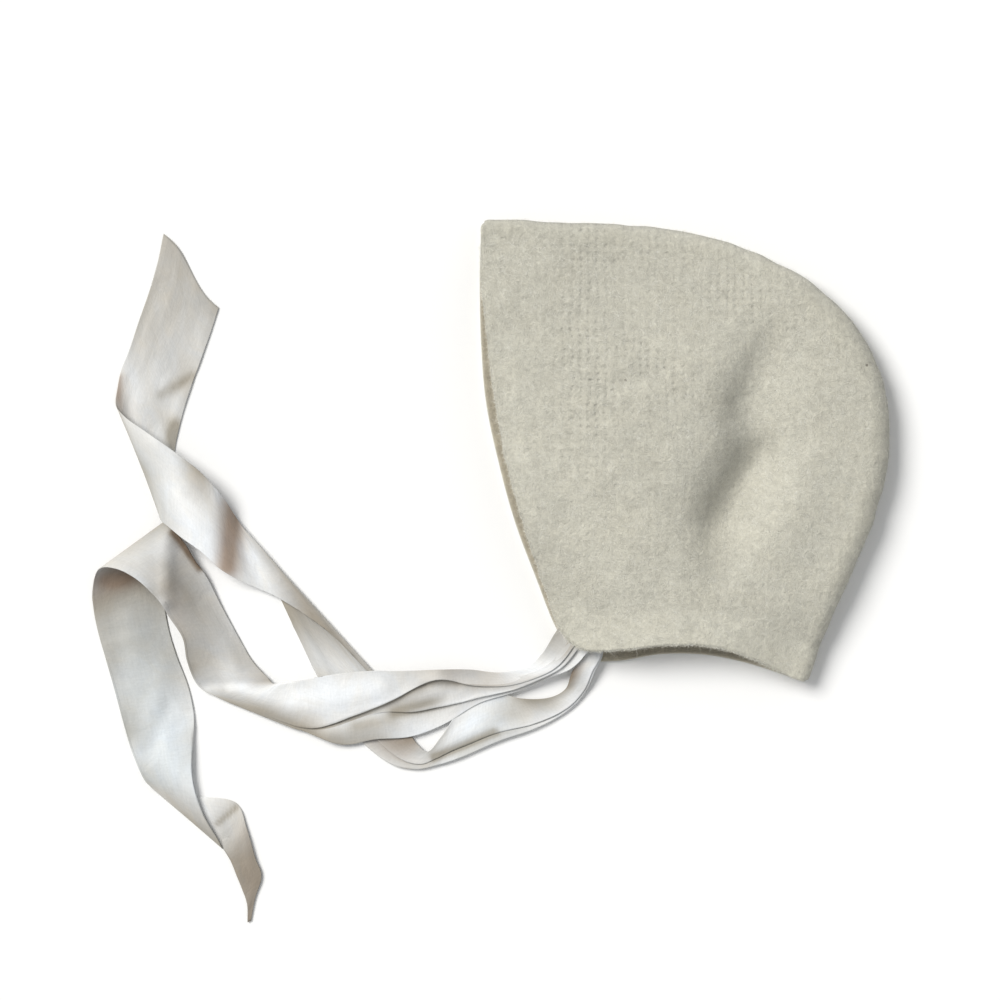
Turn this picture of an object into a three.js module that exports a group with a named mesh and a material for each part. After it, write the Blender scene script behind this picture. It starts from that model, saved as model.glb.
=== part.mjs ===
// A baby bonnet of boiled wool, lying on its side, with two silk ribbon ties laid out beside it.
// Millimetres. +Z is up, +X points from the face opening to the back of the head, and +Y to the top
// of the head. The origin is on the underside, below the middle of the bonnet.

import * as THREE from "three";

// Driving dimensions of the felt crown.
const wallThickness = 3;
const rimRadius = 7; // outer radius of the soft fold that joins the two walls
const rimEndRadius = 5; // and at the two ends of the fold
const rimEndShare = 0.14; // share of the fold over which it grows from one to the other
const crownHeight = 19.5; // top of the upper wall in the middle of the bonnet
const foldReach = 46; // how far in from the fold the upper wall takes to rise
const mouthReach = 42; // how far in from the open edge the upper wall takes to rise
const mouthShare = 0.6; // share of the rise that is left at the open edge
const cornerPinch = 5.5; // how far the front corner is pressed down
const cornerPinchReach = 26;

// Driving dimensions of the silk ties.
const ribbonThickness = 1;

// Fineness of the meshes.
const crownSections = 48;
const upperSteps = 20;
const rimSteps = 6;
const lowerSteps = 3;
const ribbonStepsPerRow = 3;
const ribbonStepsAcross = 3;

// Turns a short table into a list of objects with its column names.
function table(columns, rows) {
  return rows.map((row) => Object.fromEntries(columns.map((name, i) => [name, row[i]])));
}

// The outline of the fold, from the top front corner over the head and down the back to the nape.
const foldOutline = table(["x", "y"], [
  [-72.8, 82.9],
  [-58.0, 82.4],
  [-45.0, 81.6],
  [-16.0, 80.3],
  [6.0, 77.0],
  [27.5, 69.8],
  [45.0, 60.3],
  [59.0, 47.5],
  [68.5, 32.5],
  [73.2, 14.5],
  [73.2, -4.0],
  [69.0, -22.0],
  [61.0, -42.5],
  [52.6, -61.0],
  [48.0, -73.0],
  [46.2, -78.4],
  [44.4, -83.8],
]);

// The cut edge of the upper wall: down the face, round the front corner, along the neck.
const upperEdge = table(["x", "y"], [
  [-72.9, 77.4],
  [-72.8, 60.0],
  [-70.6, 40.0],
  [-67.9, 17.5],
  [-63.6, -5.0],
  [-58.0, -26.0],
  [-51.1, -46.5],
  [-45.6, -62.5],
  [-42.0, -68.2],
  [-36.0, -71.8],
  [-24.0, -71.8],
  [-8.6, -70.2],
  [7.0, -70.2],
  [20.0, -73.4],
  [30.0, -77.8],
  [38.1, -81.6],
]);

// The cut edge of the lower wall, which shows a little past the upper one.
const lowerEdge = table(["x", "y"], [
  [-72.9, 77.4],
  [-73.3, 60.0],
  [-72.9, 40.0],
  [-71.1, 17.5],
  [-66.4, -5.0],
  [-60.6, -26.0],
  [-52.9, -46.5],
  [-46.6, -62.5],
  [-42.2, -70.0],
  [-36.0, -75.3],
  [-24.0, -75.9],
  [-8.6, -73.5],
  [7.0, -73.6],
  [20.0, -75.9],
  [30.0, -78.8],
  [38.1, -81.6],
]);

// Hollows pressed into the upper wall: a trough from one point to another, with its depth and its half width
// on the face's side and on the side of the back of the head.
const dents = table(["fromX", "fromY", "toX", "toY", "depth", "faceWidth", "backWidth"], [
  [36.0, 39.0, 25.5, 17.0, 8.7, 11.0, 18.0], // upper trough
  [26.0, -5.0, 15.0, -24.0, 10.2, 10.5, 17.5], // lower trough
  [44.0, 3.5, 60.0, 5.0, 1.5, 5.0, 6.0], // faint fold towards the back
  [-30.0, 20.0, -8.0, 28.0, 0.9, 4.0, 5.0], // faint wrinkle in the side
]);

// Swellings of the upper wall beside the hollows.
const swells = table(["x", "y", "height", "halfWidth"], [
  [-12.0, 8.0, 2.0, 30], // middle of the side
  [42.0, 20.0, 1.5, 15], // back of the head, upper
  [42.0, -22.0, 1.8, 17], // back of the head, lower
]);

function smoothStep(value) {
  const t = Math.min(1, Math.max(0, value));
  return t * t * (3 - 2 * t);
}

function bell(distance, halfWidth) {
  return Math.exp(-((distance / halfWidth) ** 2));
}

function curveThrough(points, z = 0) {
  const corners = points.map((p) => new THREE.Vector3(p.x, p.y, p.z ?? z));
  return new THREE.CatmullRomCurve3(corners, false, "centripetal");
}

function distanceToSegment(x, y, fromX, fromY, toX, toY) {
  const runX = toX - fromX;
  const runY = toY - fromY;
  const along = ((x - fromX) * runX + (y - fromY) * runY) / (runX * runX + runY * runY);
  const t = Math.min(1, Math.max(0, along));
  return Math.hypot(x - fromX - runX * t, y - fromY - runY * t);
}

// The half width of a dent at a point: one on each side of its middle line, with a smooth step between them.
function dentWidth(dent, x, y) {
  const runX = dent.toX - dent.fromX;
  const runY = dent.toY - dent.fromY;
  const beside = (runX * (y - dent.fromY) - runY * (x - dent.fromX)) / Math.hypot(runX, runY);
  const share = smoothStep(0.5 + beside / (2 * dent.faceWidth));
  return dent.faceWidth + (dent.backWidth - dent.faceWidth) * share;
}

function distanceToPath(x, y, path) {
  let nearest = Infinity;
  for (let i = 1; i < path.length; i++) {
    const a = path[i - 1];
    const b = path[i];
    nearest = Math.min(nearest, distanceToSegment(x, y, a.x, a.y, b.x, b.y));
  }
  return nearest;
}

// A closed mesh from an outer and an inner grid of points, joined round their four borders.
// gridOut and gridIn are arrays of rows of Vector3 of the same size.
function shellGeometry(gridOut, gridIn) {
  const rows = gridOut.length;
  const columns = gridOut[0].length;
  const layer = rows * columns;
  const positions = [...gridOut.flat(), ...gridIn.flat()].flatMap((p) => [p.x, p.y, p.z]);
  const faces = [];
  const quad = (a, b, c, d) => faces.push(a, b, c, a, c, d);
  for (let i = 0; i < rows - 1; i++) {
    for (let j = 0; j < columns - 1; j++) {
      const a = i * columns + j;
      const b = a + columns;
      quad(a, b, b + 1, a + 1);
      quad(layer + a, layer + a + 1, layer + b + 1, layer + b);
    }
  }
  const wall = (a, b) => quad(a, b, layer + b, layer + a);
  for (let j = 0; j < columns - 1; j++) {
    wall(j, j + 1);
    wall((rows - 1) * columns + j + 1, (rows - 1) * columns + j);
  }
  for (let i = 0; i < rows - 1; i++) {
    wall((i + 1) * columns, i * columns);
    wall(i * columns + columns - 1, (i + 1) * columns + columns - 1);
  }
  const geometry = new THREE.BufferGeometry();
  geometry.setAttribute("position", new THREE.Float32BufferAttribute(positions, 3));
  geometry.setIndex(faces);
  geometry.computeVertexNormals();
  return geometry;
}

// The crown is one felted pouch. Each section crosses it from the upper cut edge to the fold, round
// the fold in a half circle, and back along the floor to the lower cut edge.
function crownGeometry() {
  const fold = curveThrough(foldOutline);
  const upper = curveThrough(upperEdge);
  const lower = curveThrough(lowerEdge);
  const foldCentre = (s) => {
    const at = fold.getPointAt(s);
    const along = fold.getTangentAt(s);
    const outward = new THREE.Vector3(-along.y, along.x, 0).normalize();
    const grown = smoothStep(Math.min(s, 1 - s) / rimEndShare);
    const radius = rimEndRadius + (rimRadius - rimEndRadius) * grown;
    return { at: at.addScaledVector(outward, -radius), outward, radius };
  };
  const stations = Array.from({ length: crownSections + 1 }, (_, i) => i / crownSections);
  const foldPath = stations.map((s) => foldCentre(s).at);
  const mouthPath = stations.map((s) => upper.getPointAt(s));
  const corner = upperEdge[8];

  const upperHeight = (x, y, rimTop) => {
    const fromFold = smoothStep(distanceToPath(x, y, foldPath) / foldReach);
    const fromMouth = smoothStep(distanceToPath(x, y, mouthPath) / mouthReach);
    let height = (crownHeight - rimTop) * (mouthShare + (1 - mouthShare) * fromMouth);
    height -= cornerPinch * bell(Math.hypot(x - corner.x, y - corner.y), cornerPinchReach);
    for (const swell of swells) {
      height += swell.height * fromMouth * bell(Math.hypot(x - swell.x, y - swell.y), swell.halfWidth);
    }
    for (const dent of dents) {
      const away = distanceToSegment(x, y, dent.fromX, dent.fromY, dent.toX, dent.toY);
      height -= dent.depth * bell(away, dentWidth(dent, x, y));
    }
    return rimTop + height * fromFold;
  };

  const section = (s, inset) => {
    const points = [];
    const { at, outward, radius } = foldCentre(s);
    const start = upper.getPointAt(s);
    const end = lower.getPointAt(s);
    for (let i = 0; i < upperSteps; i++) {
      const p = start.clone().lerp(at, i / upperSteps);
      p.z = upperHeight(p.x, p.y, 2 * radius) - inset;
      points.push(p);
    }
    for (let i = 0; i <= rimSteps; i++) {
      const angle = Math.PI * (0.5 - i / rimSteps);
      const p = at.clone().addScaledVector(outward, (radius - inset) * Math.cos(angle));
      p.z = radius + (radius - inset) * Math.sin(angle);
      points.push(p);
    }
    for (let i = 1; i <= lowerSteps; i++) {
      const p = at.clone().lerp(end, i / lowerSteps);
      p.z = inset;
      points.push(p);
    }
    return points;
  };
  const sections = (inset) => stations.map((s) => section(s, inset));
  return shellGeometry(sections(0), sections(wallThickness));
}

// Both ties are strips of silk. Each row gives where the two selvedges are, left and right as seen
// on the way from the bonnet to the free end.
const tieColumns = ["leftX", "leftY", "leftZ", "rightX", "rightY", "rightZ"];

const nearTieRows = table(tieColumns, [
  [-30.0, -66.0, 7.6, -41.0, -59.0, 7.6], // sewn inside the upper wall
  [-34.5, -72.5, 7.2, -46.0, -65.5, 7.0], // leaves the front corner
  [-40.5, -78.5, 5.8, -51.0, -73.5, 5.4],
  [-47.5, -81.5, 4.8, -56.5, -78.0, 4.6],
  [-59.0, -86.5, 4.6, -66.0, -80.0, 4.6],
  [-73.5, -91.0, 4.6, -77.0, -79.0, 4.6],
  [-86.0, -98.5, 4.6, -88.0, -79.0, 4.6],
  [-98.0, -103.0, 4.6, -100.5, -79.5, 4.6],
  [-111.0, -104.0, 4.4, -112.5, -79.5, 4.6],
  [-123.0, -106.0, 3.6, -124.0, -80.5, 4.6],
  [-137.0, -101.0, 1.8, -135.5, -82.5, 3.8],
  [-152.0, -95.0, 0.9, -144.0, -83.5, 3.4],
  [-167.0, -89.0, 1.0, -147.5, -84.0, 3.2], // turns towards the loop
  [-174.0, -85.0, 2.4, -149.5, -82.0, 2.2],
  [-178.0, -76.0, 6.0, -155.0, -76.0, 1.0],
  [-179.5, -67.5, 8.0, -160.0, -67.5, 0.9],
  [-184.5, -59.5, 9.0, -166.5, -55.5, 1.4],
  [-187.0, -55.0, 10.5, -171.5, -45.5, 2.6],
  [-190.0, -51.5, 12.0, -175.5, -40.0, 3.8],
  [-196.0, -46.0, 13.0, -179.0, -34.0, 4.8],
  [-203.0, -42.5, 12.5, -183.0, -29.0, 5.2],
  [-209.5, -42.5, 8.5, -187.0, -26.0, 3.4], // crest of the loop
  [-212.3, -50.0, 3.4, -186.5, -34.0, 1.2],
  [-212.0, -57.0, 1.6, -187.5, -47.0, 0.9],
  [-210.5, -65.0, 0.9, -185.5, -63.0, 0.9],
  [-207.5, -75.5, 0.9, -182.5, -73.5, 0.9],
  [-204.0, -88.0, 0.9, -178.0, -85.5, 0.9],
  [-201.0, -99.0, 1.4, -176.0, -96.0, 1.4],
  [-198.0, -108.5, 2.0, -176.0, -106.0, 2.0],
  [-193.5, -118.5, 2.6, -176.0, -117.5, 2.6],
  [-192.5, -121.0, 2.6, -172.5, -131.0, 2.6],
  [-192.0, -122.0, 2.4, -166.5, -142.0, 2.4],
  [-191.0, -122.5, 1.6, -165.5, -143.5, 1.6], // folds under itself
  [-188.0, -122.0, 0.9, -165.5, -143.0, 0.9],
  [-175.0, -125.0, 0.9, -166.0, -143.0, 0.9],
  [-161.0, -127.5, 0.9, -165.5, -144.5, 0.9],
  [-157.5, -137.5, 1.4, -163.5, -149.0, 0.9],
  [-153.5, -148.5, 1.6, -161.0, -156.0, 0.9],
  [-152.0, -154.0, 1.4, -159.0, -160.5, 0.9],
  [-154.0, -160.5, 1.0, -158.0, -164.0, 0.9],
  [-155.8, -168.6, 0.9, -157.2, -169.2, 0.9], // free end
]);

const farTieRows = table(tieColumns, [
  [-28.0, -68.5, 4.0, -34.5, -67.0, 4.0], // sewn inside the lower wall
  [-29.0, -74.5, 4.0, -35.5, -74.0, 4.0], // leaves the front corner
  [-31.5, -79.5, 3.6, -40.0, -79.5, 3.2],
  [-34.5, -86.5, 1.6, -42.5, -86.0, 1.4],
  [-40.5, -93.5, 0.9, -48.0, -89.0, 1.2],
  [-52.0, -100.0, 0.9, -59.0, -90.0, 1.2],
  [-66.5, -105.0, 0.9, -68.0, -90.0, 1.2],
  [-80.5, -111.0, 0.9, -80.0, -94.5, 1.2],
  [-89.5, -114.0, 0.9, -87.0, -103.0, 1.2],
  [-96.0, -115.2, 0.9, -92.0, -108.5, 1.0], // tight bend
  [-104.0, -114.0, 0.9, -95.5, -106.0, 0.9],
  [-113.0, -108.0, 0.9, -98.0, -102.5, 0.9],
  [-122.0, -98.0, 0.9, -100.0, -98.0, 0.9],
  [-131.5, -82.0, 0.9, -101.0, -95.0, 0.9], // passes under the near tie
  [-138.0, -68.5, 0.9, -102.0, -92.5, 0.9],
  [-145.0, -53.5, 0.9, -103.0, -90.5, 0.9],
  [-152.0, -38.5, 0.9, -104.0, -89.0, 0.9],
  [-155.8, -31.2, 1.7, -105.0, -87.0, 1.7], // long fold back over itself
  [-156.5, -30.0, 2.5, -113.5, -79.5, 2.5],
  [-158.0, -28.5, 2.5, -127.5, -65.5, 2.5],
  [-159.5, -26.5, 2.6, -145.0, -53.5, 2.5],
  [-161.5, -23.5, 3.4, -153.5, -49.5, 3.0],
  [-164.5, -18.5, 6.5, -160.0, -46.5, 5.5],
  [-168.0, -14.0, 9.4, -166.5, -42.5, 8.6],
  [-173.0, -8.5, 9.8, -173.0, -36.5, 9.4], // lies over the near tie's loop
  [-178.5, -4.0, 9.2, -180.0, -31.5, 9.4],
  [-186.0, 1.5, 8.2, -185.5, -27.0, 8.6],
  [-194.0, 7.0, 6.8, -187.5, -25.5, 7.6],
  [-201.0, 12.0, 5.2, -188.0, -24.5, 6.2],
  [-204.0, 16.0, 3.2, -187.2, -22.5, 3.4], // soft fold under itself
  [-203.5, 22.5, 1.3, -185.5, -17.0, 1.3],
  [-202.0, 29.5, 0.9, -184.0, -7.0, 0.9],
  [-199.5, 35.5, 0.9, -182.5, 4.0, 0.9],
  [-196.0, 46.0, 0.9, -179.0, 17.5, 0.9],
  [-192.0, 57.5, 0.9, -173.5, 33.0, 0.9],
  [-189.0, 68.0, 0.9, -169.5, 44.5, 0.9],
  [-187.0, 77.8, 0.9, -167.3, 51.3, 0.9], // slanted cut
]);

// A strip whose middle surface is ruled between its two selvedges, thickened along its normals.
function ribbonGeometry(rows) {
  const selvedge = (x, y, z) => curveThrough(rows.map((row) => ({ x: row[x], y: row[y], z: row[z] })));
  const left = selvedge("leftX", "leftY", "leftZ");
  const right = selvedge("rightX", "rightY", "rightZ");
  const steps = (rows.length - 1) * ribbonStepsPerRow;
  const middle = Array.from({ length: steps + 1 }, (_, i) => {
    const a = left.getPoint(i / steps);
    const b = right.getPoint(i / steps);
    return Array.from({ length: ribbonStepsAcross + 1 }, (_, j) => a.clone().lerp(b, j / ribbonStepsAcross));
  });
  const at = (i, j) => middle[Math.min(steps, Math.max(0, i))][Math.min(ribbonStepsAcross, Math.max(0, j))];
  const offset = (distance) => middle.map((row, i) => row.map((p, j) => {
    const along = at(i + 1, j).clone().sub(at(i - 1, j));
    const across = at(i, j + 1).clone().sub(at(i, j - 1));
    const normal = along.cross(across).normalize();
    return p.clone().addScaledVector(normal, distance);
  }));
  return shellGeometry(offset(ribbonThickness / 2), offset(-ribbonThickness / 2));
}

const felt = new THREE.MeshStandardMaterial({ color: 0xc9c7b9, roughness: 0.95, metalness: 0 });
const nearSilk = new THREE.MeshStandardMaterial({ color: 0xd9d7d3, roughness: 0.5, metalness: 0 });
const farSilk = nearSilk.clone();

function piece(name, geometry, material) {
  const mesh = new THREE.Mesh(geometry, material);
  mesh.name = name;
  return mesh;
}

const bonnet = new THREE.Group();
bonnet.add(
  piece("crown", crownGeometry(), felt),
  piece("tie_near", ribbonGeometry(nearTieRows), nearSilk),
  piece("tie_far", ribbonGeometry(farTieRows), farSilk),
);

export default bonnet;
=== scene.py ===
import math
import bpy
import numpy as np
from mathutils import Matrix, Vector


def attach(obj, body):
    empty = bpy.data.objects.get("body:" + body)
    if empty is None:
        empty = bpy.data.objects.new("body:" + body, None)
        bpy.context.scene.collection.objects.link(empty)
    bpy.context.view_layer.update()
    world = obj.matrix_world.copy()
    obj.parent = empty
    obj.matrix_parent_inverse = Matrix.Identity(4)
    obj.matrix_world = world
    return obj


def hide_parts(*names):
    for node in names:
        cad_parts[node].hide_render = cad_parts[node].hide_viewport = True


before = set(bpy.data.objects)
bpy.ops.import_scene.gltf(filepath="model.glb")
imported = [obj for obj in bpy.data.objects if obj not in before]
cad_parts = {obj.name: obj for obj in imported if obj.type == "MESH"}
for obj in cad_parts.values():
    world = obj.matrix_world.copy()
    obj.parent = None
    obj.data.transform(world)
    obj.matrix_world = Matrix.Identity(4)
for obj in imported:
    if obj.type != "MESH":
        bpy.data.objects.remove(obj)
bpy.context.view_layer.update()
print("frame loaded:", len(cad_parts), "nodes")

mm = 0.001  # the tables below are in millimetres, Blender works in metres

studio = {
    "lookAt": (-66.0, -18.0),
    "cameraHeight": 2.0,  # metres, straight above
    "lens": 200.0,
    "sensor": 36.0,
    "clip": (0.1, 10.0),
    "keyFrom": (-0.55, 0.38, 0.74),  # direction towards the window light
    "keyStrength": 2.85,
    "keyAngle": 30.0,  # degrees, how soft its shadows are
    "keyColour": (1.0, 0.985, 0.96),
    "skyStrength": 0.44,
    "skyColour": (0.97, 0.985, 1.0),
    "floorColour": (0.95, 0.95, 0.945, 1.0),
    "surface": {"Roughness": 1.0, "Specular IOR Level": 0.0},
    "floorSize": 3.0,
    "floorDrop": 0.1,  # millimetres below the cloth
}


# the camera hangs straight above the bonnet, with the top of the head upwards in its view
def hangCamera(spec):
    camera = bpy.data.cameras.new("camera")
    camera.lens = spec["lens"]
    camera.sensor_width = spec["sensor"]
    camera.clip_start, camera.clip_end = spec["clip"]
    holder = bpy.data.objects.new("camera", camera)
    holder.location = (spec["lookAt"][0] * mm, spec["lookAt"][1] * mm, spec["cameraHeight"])
    bpy.context.collection.objects.link(holder)
    bpy.context.scene.camera = holder
    bpy.context.scene.view_settings.view_transform = "Standard"


hangCamera(studio)
print("camera placed")


# a number on its way through a material: sums written with it add Math nodes
class Flow:
    def __init__(self, finish, socket):
        self.finish = finish
        self.socket = socket

    def work(self, operation, first, second):
        return self.finish.node("ShaderNodeMath", {"operation": operation}, {0: first, 1: second})

    def __add__(self, other):
        return self.work("ADD", self, other)

    def __radd__(self, other):
        return self.work("ADD", other, self)

    def __sub__(self, other):
        return self.work("SUBTRACT", self, other)

    def __rsub__(self, other):
        return self.work("SUBTRACT", other, self)

    def __mul__(self, other):
        return self.work("MULTIPLY", self, other)

    def __rmul__(self, other):
        return self.work("MULTIPLY", other, self)

    def __pow__(self, other):
        return self.work("POWER", self, other)


# a material under construction
class Finish:
    def __init__(self, name):
        self.material = bpy.data.materials.new(name)
        self.material.use_nodes = True
        self.tree = self.material.node_tree
        self.tree.nodes.clear()

    # any node: its type, its settings, then a value or a Flow for each of its sockets
    def node(self, kind, settings=None, inputs=None, output=0):
        made = self.tree.nodes.new(kind)
        for name, value in (settings or {}).items():
            if name == "stops":
                self.setStops(made.color_ramp.elements, value)
            else:
                setattr(made, name, value)
        for name, value in (inputs or {}).items():
            if isinstance(value, Flow):
                self.tree.links.new(value.socket, made.inputs[name])
            else:
                made.inputs[name].default_value = value
        return Flow(self, made.outputs[output]) if len(made.outputs) else made

    # puts a ramp's stops in: the place and the level of each
    def setStops(self, elements, stops):
        while len(elements) < len(stops):
            elements.new(1.0)
        for element, (position, level) in zip(elements, stops):
            element.position = position
            element.color = (level, level, level, 1.0)

    # the level of a ramp, from 0 to 1, at a value
    def ramp(self, value, stops):
        return self.node("ShaderNodeValToRGB", {"stops": stops}, {"Fac": value})

    def noise(self, place, scale, detail, roughness, distortion=0.0):
        inputs = {"Vector": place, "Scale": scale, "Detail": detail}
        inputs.update({"Roughness": roughness, "Distortion": distortion})
        return self.node("ShaderNodeTexNoise", {}, inputs)

    # start plus each noise, taken round its mean of 0.5, times its strength
    def varied(self, start, noises, strengths):
        for name, strength in strengths.items():
            start = start + (noises[name] - 0.5) * strength
        return start

    # the cosine of an angle in radians
    def cosine(self, angle):
        return self.node("ShaderNodeMath", {"operation": "COSINE"}, {0: angle})

    def attribute(self, name):
        return self.node("ShaderNodeAttribute", {"attribute_name": name}, {}, "Fac")

    # colour a where factor is 0, b (or a and b multiplied) where it is 1
    def blend(self, factor, a, b, how="MIX"):
        settings = {"data_type": "RGBA", "blend_type": how}
        return self.node("ShaderNodeMix", settings, {0: factor, 6: a, 7: b}, 2)

    # a colour made brighter or darker by a number round 1
    def scaled(self, colour, factor):
        settings = {"operation": "SCALE"}
        return self.node("ShaderNodeVectorMath", settings, {"Vector": colour, "Scale": factor})

    # the finished material: a colour, fixed values of the shader's own sockets and, if any, a relief
    def surface(self, colour, relief, spec):
        inputs = {"Base Color": colour, **spec["surface"]}
        if relief is not None:
            bumps = {"Height": relief, "Distance": spec["reliefDepth"], "Strength": spec["reliefStrength"]}
            inputs["Normal"] = self.node("ShaderNodeBump", {}, bumps)
        shader = self.node("ShaderNodeBsdfPrincipled", {}, inputs)
        self.node("ShaderNodeOutputMaterial", {}, {"Surface": shader})
        return self.material


# points on a smooth curve through the given ones; at counts from 0 at the first to n - 1 at the last.
# Each piece is a cubic whose end slopes come from the neighbours, spaced by the root of their distance.
def curveThrough(points, at):
    points = np.asarray(points, float)
    ends = np.vstack([2 * points[0] - points[1], points, 2 * points[-1] - points[-2]])
    piece = np.minimum(np.asarray(at).astype(int), len(points) - 2)
    t = (at - piece)[:, None]
    p0, p1, p2, p3 = (ends[piece + k] for k in range(4))
    steps = (p1 - p0, p2 - p1, p3 - p2)
    gap0, gap1, gap2 = (np.sqrt(np.linalg.norm(step, axis=1))[:, None] for step in steps)
    slope1 = gap1 * ((p1 - p0) / gap0 - (p2 - p0) / (gap0 + gap1) + (p2 - p1) / gap1)
    slope2 = gap1 * ((p2 - p1) / gap1 - (p3 - p1) / (gap1 + gap2) + (p3 - p2) / gap2)
    square = 3 * (p2 - p1) - 2 * slope1 - slope2
    cube = 2 * (p1 - p2) + slope1 + slope2
    return p1 + t * (slope1 + t * (square + t * cube))


# points on the same curve at shares of its length, which is summed over forty short pieces a point
def evenly(points, shares):
    fine = np.linspace(0, len(points) - 1, 40 * len(points))
    path = curveThrough(points, fine)
    run = np.concatenate([[0], np.cumsum(np.linalg.norm(np.diff(path, axis=0), axis=1))])
    return curveThrough(points, np.interp(shares * run[-1], run, fine))


# 0 up to 0, 1 from 1 on, and 3 t * t - 2 t * t * t between
def smoothStep(value):
    t = np.clip(value, 0, 1)
    return t * t * (3 - 2 * t)


# 1 in the middle, dying away as exp(-(distance / halfWidth) squared)
def bell(distance, halfWidth):
    return np.exp(-((distance / halfWidth) ** 2))


# distance in plan from each point to one straight piece
def distanceToLine(x, y, fromX, fromY, toX, toY):
    runX, runY = toX - fromX, toY - fromY
    t = np.clip(((x - fromX) * runX + (y - fromY) * runY) / (runX**2 + runY**2), 0, 1)
    return np.hypot(x - fromX - runX * t, y - fromY - runY * t)


# the least of the distances to the straight pieces of a path
def distanceToPath(x, y, path):
    nearest = np.full(np.shape(x), np.inf)
    for a, b in zip(path[:-1], path[1:]):
        nearest = np.minimum(nearest, distanceToLine(x, y, a[0], a[1], b[0], b[1]))
    return nearest


# the sum of the bell shaped strokes of a table, each along one straight line:
# fromX, fromY, toX, toY, amount, halfWidth
def strokeSum(table, x, y):
    total = np.zeros(np.shape(x))
    for fromX, fromY, toX, toY, amount, halfWidth in table:
        total += amount * bell(distanceToLine(x, y, fromX, fromY, toX, toY), halfWidth)
    return total


# smooth unevenness between about -1 and 1: a sum of nine waves in random directions, of about one length
def unevenness(x, y, wavelength, seed):
    dice = np.random.default_rng(seed)
    total = np.zeros(np.shape(x))
    for heading, stretch, start in zip(*(dice.random((3, 9)))):
        turn = 2 * math.pi * heading
        pace = 2 * math.pi / (wavelength * (0.7 + 0.7 * stretch))
        total += np.sin(pace * (x * math.cos(turn) + y * math.sin(turn)) + 2 * math.pi * start)
    return total / 4


# quads of a grid of points numbered row by row; aroundColumns joins the last column to the first
def gridFaces(rows, columns, aroundColumns=False):
    last = columns if aroundColumns else columns - 1
    i, j = np.meshgrid(np.arange(rows - 1), np.arange(last), indexing="ij")
    a = (i * columns + j).ravel()
    b = (i * columns + (j + 1) % columns).ravel()
    return np.stack([a, b, b + columns, a + columns], axis=1)


# volume inside a closed mesh of quads, below zero if it is inside out: a sixth of a . (b x c) + a . (c x d)
def insideVolume(points, faces):
    a, b, c, d = (points[faces[:, k]] for k in range(4))
    twoParts = np.einsum("ij,ij->i", a, np.cross(b, c)) + np.einsum("ij,ij->i", a, np.cross(c, d))
    return np.sum(twoParts) / 6


# a smooth-shaded object from points in millimetres, quads and triangles, with a UV map in metres and
# one attribute of its points for each tone
def addMesh(name, points, quads, material, uv=None, attributes=None, triangles=()):
    mesh = bpy.data.meshes.new(name)
    mesh.from_pydata((points * mm).tolist(), [], quads.tolist() + list(triangles))
    mesh.polygons.foreach_set("use_smooth", np.ones(len(mesh.polygons), bool))
    if uv is not None:
        layer = mesh.uv_layers.new(name="cloth")
        corners = np.empty(len(mesh.loops), int)
        mesh.loops.foreach_get("vertex_index", corners)
        layer.data.foreach_set("uv", (uv[corners] * mm).ravel())
    for title, values in (attributes or {}).items():
        mesh.attributes.new(title, "FLOAT", "POINT").data.foreach_set("value", values.ravel())
    mesh.materials.append(material)
    made = bpy.data.objects.new(name, mesh)
    bpy.context.collection.objects.link(made)
    return made


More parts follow.
